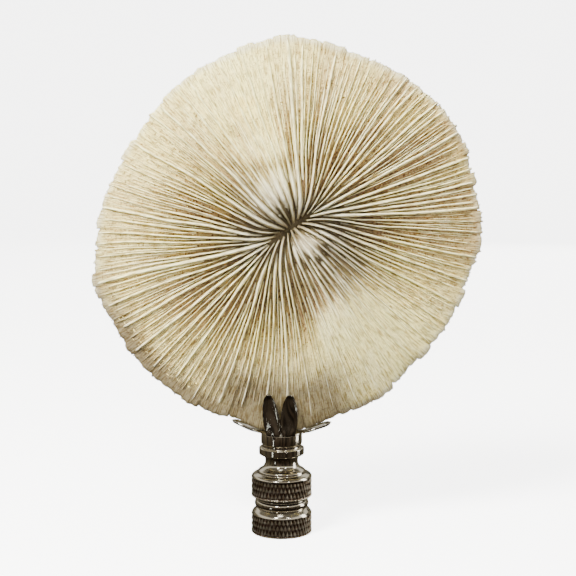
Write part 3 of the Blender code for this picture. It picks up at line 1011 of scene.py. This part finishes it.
def build_crown(surface):
    """The star of sheet metal: a round plate and six petals."""
    shells = Shells()
    low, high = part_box("petal_crown")[0].z / MM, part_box("coral_disc")[0].z / MM
    corners = [(0.01, low, 0), (4.45, low, 0.12), (4.5, low + 0.22, 0.12), (4.4, low + 0.45, 0.12)]
    corners += [(3.4, low + 0.4, 0.2), (3.0, high, 0.2), (0.01, high, 0)]
    profile = rounded_corners(corners)
    plate = around(profile[:, :1], full_turn(PLATE_SIDES), profile[:, 1:])
    shells.add(plate, tube_faces(len(profile), PLATE_SIDES), recess=0.0, soft=0.0)
    for petal in range(PETALS):
        petal_shell(CROWN_TURN + TAU * (petal + 0.5) / PETALS, shells)
    shells.build("crown_star", surface, "petal_crown")


# Materials

STAINED_CORAL = (
    (0.0, linear(148, 121, 84)), (0.3, linear(198, 174, 125)),
    (0.6, linear(235, 220, 172)), (1.0, linear(251, 246, 202)),
)
CLEAN_CORAL = (
    (0.0, linear(214, 195, 126)), (0.4, linear(241, 229, 153)), (1.0, linear(254, 248, 184)),
)
# Greys for the painted shade, partly dirt, on the coral
SHADE_AND_DIRT_CORAL = (
    (0.0, linear(94, 83, 64)), (0.4, linear(152, 143, 121)), (1.0, linear(224, 220, 200)),
)
BLOTCHES = (
    (0.3, linear(255, 248, 228)), (0.5, linear(250, 250, 246)), (0.7, linear(242, 238, 226)),
)
WHITE = linear(255, 255, 255)
SPECKLES = ((0.38, linear(132, 96, 60)), (0.46, WHITE))
STREAKS = ((0.4, linear(182, 169, 142)), (0.52, WHITE))
FACET_GLINTS = ((0.4, linear(206, 186, 170)), (0.52, WHITE))
GRIME_AND_SHADE = linear(112, 90, 68)
TURNED_NICKEL = ((0.3, linear(180, 173, 156)), (0.7, linear(202, 196, 182)))
STAMPED_NICKEL = ((0.3, linear(168, 163, 150)), (0.7, linear(190, 186, 174)))
PLATE_ROUGHNESS = 0.1


def grey(value):
    """A plain number as a colour stop."""
    return (value, value, value, 1.0)


class Tree:
    """The shader nodes of a material or of the world."""

    def __init__(self, owner):
        owner.use_nodes = True
        self.nodes = owner.node_tree.nodes
        self.links = owner.node_tree.links

    def put(self, source, socket):
        """Gives a socket a plain value or another node's output."""
        if isinstance(source, (float, tuple)):
            socket.default_value = source
        else:
            self.links.new(source, socket)

    def ramp(self, source, stops):
        """A number turned into a colour by (place, colour) stops."""
        made = self.nodes.new("ShaderNodeValToRGB")
        elements = made.color_ramp.elements
        elements[0].position, elements[0].color = stops[0]
        elements[1].position, elements[1].color = stops[-1]
        for place, colour in stops[1:-1]:
            elements.new(place).color = colour
        self.put(source, made.inputs["Fac"])
        return made.outputs["Color"]

    def texture(self, place, scale, detail, roughness=0.55):
        """A noise texture over coordinates."""
        made = self.nodes.new("ShaderNodeTexNoise")
        made.inputs["Scale"].default_value = scale
        made.inputs["Detail"].default_value = detail
        made.inputs["Roughness"].default_value = roughness
        self.put(place, made.inputs["Vector"])
        return made.outputs["Fac"]

    def attribute(self, name):
        """The numbers stored on a mesh's points under a name."""
        made = self.nodes.new("ShaderNodeAttribute")
        made.attribute_name = name
        return made.outputs["Fac"]

    def compute(self, operation, *sources, clamp=False):
        """The result of a sum on numbers."""
        made = self.nodes.new("ShaderNodeMath")
        made.operation = operation
        made.use_clamp = clamp
        for source, socket in zip(sources, made.inputs):
            self.put(source, socket)
        return made.outputs[0]

    def scaled(self, source, factor, added=0.0, clamp=False):
        """A number times a factor plus another number."""
        return self.compute("MULTIPLY_ADD", source, factor, added, clamp=clamp)

    def mixed(self, factor, first, second, blend="MIX"):
        """Two colours mixed or multiplied."""
        made = self.nodes.new("ShaderNodeMix")
        made.data_type = "RGBA"
        made.blend_type = blend
        for source, name in ((factor, "Factor"), (first, "A"), (second, "B")):
            self.put(source, made.inputs[name])
        return made.outputs["Result"]

    def bumped(self, height, strength, distance):
        """A shading normal that follows a height."""
        made = self.nodes.new("ShaderNodeBump")
        made.inputs["Strength"].default_value = strength
        made.inputs["Distance"].default_value = distance
        self.put(height, made.inputs["Height"])
        return made.outputs["Normal"]


def new_material(name):
    """A material, its tree, its shader's sockets and the object's own coordinates."""
    made = bpy.data.materials.new(name)
    tree = Tree(made)
    place = tree.nodes.new("ShaderNodeTexCoord").outputs["Object"]
    return made, tree, tree.nodes["Principled BSDF"].inputs, place


def coral_material():
    """Bleached aragonite: cream crests, tan and brown speckled gaps, a chalky grain, and painted
    shade carried by its attributes.
    """
    made, tree, shader, place = new_material("coral_aragonite")
    tone = tree.attribute("tone")
    grain = tree.texture(place, 2600, 3)
    spoke = tree.nodes.new("ShaderNodeCombineXYZ")
    tree.put(tree.scaled(tree.attribute("fibre"), 170.0), spoke.inputs["X"])
    tree.put(tree.scaled(tree.attribute("along"), 16.0), spoke.inputs["Y"])
    fibres = tree.texture(spoke.outputs["Vector"], 1, 3, 0.5)

    level = tree.compute("ADD", tone, tree.scaled(grain, 0.3, -0.15), clamp=True)
    clean, stained = tree.ramp(level, CLEAN_CORAL), tree.ramp(level, STAINED_CORAL)
    base = tree.mixed(tree.attribute("stain"), clean, stained)
    blotches = tree.ramp(tree.texture(place, 160, 5), BLOTCHES)
    base = tree.mixed(0.9, base, blotches, "MULTIPLY")
    in_gap = tree.scaled(tone, -1.0, 0.95, clamp=True)
    speckles = tree.ramp(tree.texture(place, 2200, 2, 0.7), SPECKLES)
    base = tree.mixed(in_gap, base, speckles, "MULTIPLY")
    # The shade attribute mixes in grey: painted shade, partly dirt, around the mouth, and painted
    # shade on the rim at the foot and lower left
    shade_share = tree.scaled(tree.attribute("shade"), 0.85, clamp=True)
    base = tree.mixed(shade_share, base, tree.ramp(level, SHADE_AND_DIRT_CORAL))
    base = tree.mixed(0.9, base, tree.ramp(fibres, STREAKS), "MULTIPLY")
    tree.put(base, shader["Base Color"])

    tree.put(tree.ramp(grain, ((0.3, grey(0.66)), (0.7, grey(0.88)))), shader["Roughness"])
    shader["Specular IOR Level"].default_value = 0.3
    tree.put(tree.bumped(tree.compute("ADD", grain, fibres), 0.35, 0.12 * MM), shader["Normal"])
    return made


def nickel_material(name, plate):
    """Polished nickel plate: faint smudges, and grime in recesses and painted shade on the knurl's
    lower faces where a point attribute says.
    """
    made, tree, shader, place = new_material(name)
    smudges = tree.texture(place, 420, 4)
    soft = tree.attribute("soft")
    base = tree.mixed(tree.attribute("recess"), tree.ramp(smudges, plate), GRIME_AND_SHADE)
    # Painted reflection: random darker specks on the knurl, for facets that catch the light
    # unevenly
    glints = tree.ramp(tree.texture(place, 1500, 2), FACET_GLINTS)
    base = tree.mixed(tree.scaled(soft, 0.8, clamp=True), base, glints, "MULTIPLY")
    tree.put(base, shader["Base Color"])
    shader["Metallic"].default_value = 1.0
    rough_stops = ((0.35, grey(PLATE_ROUGHNESS)), (0.7, grey(PLATE_ROUGHNESS + 0.1)))
    rough = tree.compute("ADD", tree.ramp(smudges, rough_stops), tree.scaled(soft, 0.18))
    tree.put(rough, shader["Roughness"])
    tree.put(tree.bumped(tree.texture(place, 3200, 3), 0.1, 0.02 * MM), shader["Normal"])
    return made


def stage_material():
    """Plain matte white, with a little light of its own so that it stays pale."""
    made = bpy.data.materials.new("pale_paper")
    shader = Tree(made).nodes["Principled BSDF"].inputs
    shader["Base Color"].default_value = linear(250, 250, 249)
    shader["Roughness"].default_value = 0.95
    shader["Emission Color"].default_value = (1, 1, 1, 1)
    shader["Emission Strength"].default_value = 5.0
    return made


# Stage, light and camera

BEND_STEPS = 16
BOWL_SIDES = 96
SWEEP_WIDTH = 2.4

# Lights: name, azimuth, elevation, distance, size, power and colour
SOFT_LIGHTS = (
    ("key", -38, 42, 0.55, (0.2, 0.2), 12.5, (1.0, 0.99, 0.96)),
    ("fill", 5, 2, 0.8, (0.7, 0.7), 7.8, (0.995, 1.0, 0.985)),
    ("back_fill", 165, 25, 0.8, (0.7, 0.7), 4.0, (1.0, 0.99, 0.97)),
)
METAL_LIGHTS = (
    ("right_window", 98, 12, 0.4, (0.12, 0.35), 0.9, (1.0, 0.98, 0.93)),
    ("left_lamp", -23, 40, 0.4, (0.05, 0.05), 0.35, (1.0, 1.0, 1.0)),
    ("right_lamp", 30, 38, 0.4, (0.03, 0.03), 0.1, (1.0, 0.98, 0.95)),
    ("left_strip", -46, -16, 0.4, (0.012, 0.1), 0.03, (0.9, 0.97, 1.0)),
    ("top_lamp", -10, 68, 0.4, (0.08, 0.08), 0.12, (1.0, 0.99, 0.96)),
)
METAL_MIDDLE = (0.0, 0.0, 12 * MM)

# The room that the metal mirrors, from behind to before the part and from below to above
ROOM_SIDES = (
    (0.0, linear(122, 112, 104)), (0.2, linear(112, 103, 95)),
    (0.45, linear(150, 145, 132)), (1.0, linear(160, 156, 142)),
)
ROOM_HEIGHTS = (
    (0.2, linear(74, 64, 56)), (0.38, linear(152, 142, 129)),
    (0.48, linear(200, 195, 184)), (0.8, linear(255, 252, 244)),
)
BANDS = ((0.44, grey(0.22)), (0.52, grey(1.0)))
OVERHEAD = ((0.78, grey(0.0)), (0.92, grey(1.0)))
RAIL = ((0.65, grey(0.0)), (0.69, grey(0.9)), (0.77, grey(0.9)), (0.8, grey(0.0)))
ROOM_STRENGTH = 1.3

CAMERA_LENS = 79.42
CAMERA_PLACE = (1.34 * MM, -260.565 * MM, 78.69 * MM)
CAMERA_PITCH = 6


def curved_up(start, flat, bend, height, drop=0.0):
    """A (distance, height) profile of a floor that bends up into a wall."""
    profile = [(start, -drop)]
    for turn in math.pi / 2 * np.arange(BEND_STEPS + 1) / BEND_STEPS:
        profile.append((flat + bend * math.sin(turn), bend * (1 - math.cos(turn)) - drop))
    return np.array([*profile, (flat + bend, height)])


def add_sheet(name, points, faces, surface):
    """A sheet of the stage, which neither lights the part nor mirrors in its metal."""
    sheet = new_object(name, points, faces, surface)
    sheet.visible_glossy = False
    sheet.visible_diffuse = False
    return sheet


def build_surround(surface):
    """A wide round bowl under and around the floor, for the views from the sides and behind."""
    profile = curved_up(1.0, 1.5, 0.7, 3.0, drop=2 * MM)
    points = around(profile[:, :1], full_turn(BOWL_SIDES), profile[:, 1:])
    bowl = add_sheet("stage_surround", points, grid_faces(len(profile), BOWL_SIDES), surface)
    bowl.visible_shadow = False


def build_stage(surface):
    """A pale floor that curves up into a backdrop far behind."""
    build_surround(surface)
    profile = curved_up(-1.2, 0.9, 0.35, 1.6)
    points = [(side * SWEEP_WIDTH / 2, y, z) for y, z in profile for side in (-1, 1)]
    faces = [[2 * i, 2 * i + 1, 2 * i + 3, 2 * i + 2] for i in range(len(profile) - 1)]
    add_sheet("stage_sweep", points, faces, surface)


def add_light(target, name, azimuth, elevation, distance, size, power, colour):
    """A rectangular soft light. Azimuth 0 is towards the viewer, and 90 to the viewer's right."""
    data = bpy.data.lights.new(name, "AREA")
    data.shape = "RECTANGLE"
    data.size, data.size_y = size
    data.energy = power
    data.color = colour
    light = place_object(name, data)
    turn, rise = math.radians(azimuth), math.radians(elevation)
    towards = Vector(
        (math.sin(turn) * math.cos(rise), -math.cos(turn) * math.cos(rise), math.sin(rise))
    )
    light.location = Vector(target) + towards * distance
    light.rotation_euler = towards.to_track_quat("Z", "Y").to_euler()
    return light


def light_world():
    """The room that the metal mirrors: dark before the part and below it, paler behind it."""
    world = bpy.data.worlds.new("studio")
    bpy.context.scene.world = world
    tree = Tree(world)
    direction = tree.nodes.new("ShaderNodeTexCoord").outputs["Generated"]
    axes = tree.nodes.new("ShaderNodeSeparateXYZ")
    tree.put(direction, axes.inputs[0])
    beside = tree.scaled(axes.outputs["Y"], 0.5, 0.5)
    rise = tree.scaled(axes.outputs["Z"], 0.5, 0.5)
    walls = tree.ramp(beside, ROOM_SIDES)
    colour = tree.mixed(1.0, walls, tree.ramp(rise, ROOM_HEIGHTS), "MULTIPLY")
    stretch = tree.nodes.new("ShaderNodeMapping")
    stretch.inputs["Scale"].default_value = (3.2, 3.2, 0.3)
    tree.put(direction, stretch.inputs["Vector"])
    furniture = tree.texture(stretch.outputs["Vector"], 1.6, 2, 0.5)
    colour = tree.mixed(1.0, colour, tree.ramp(furniture, BANDS), "MULTIPLY")
    colour = tree.mixed(tree.ramp(rise, OVERHEAD), colour, linear(112, 107, 96))
    colour = tree.mixed(tree.ramp(rise, RAIL), colour, linear(255, 250, 238))
    background = tree.nodes["Background"].inputs
    background["Strength"].default_value = ROOM_STRENGTH
    tree.put(colour, background["Color"])


def light_scene():
    """A grazing key from the upper left, two broad weak fills, and panels for the metal alone."""
    light_world()
    for settings in SOFT_LIGHTS:
        add_light((CENTRE[0], 0.0, CENTRE[1]), *settings).visible_glossy = False
    for settings in METAL_LIGHTS:
        add_light(METAL_MIDDLE, *settings).visible_diffuse = False


def place_camera():
    """The photograph's view: slightly above the disc's middle, looking a little down."""
    data = bpy.data.cameras.new("camera")
    data.lens = CAMERA_LENS
    data.sensor_width = 36
    data.clip_start = 0.01
    camera = place_object("camera", data)
    camera.location = CAMERA_PLACE
    camera.rotation_euler = (math.radians(90 - CAMERA_PITCH), 0, 0)
    bpy.context.scene.camera = camera


def main():
    """Builds the coral, the base, the crown and the stage, and lights them."""
    aragonite = coral_material()
    build_body(aragonite)
    build_septa(aragonite)
    build_crossbars(aragonite)
    build_base(nickel_material("turned_nickel_plate", TURNED_NICKEL))
    build_crown(nickel_material("stamped_nickel_plate", STAMPED_NICKEL))
    build_stage(stage_material())
    light_scene()
    place_camera()


main()
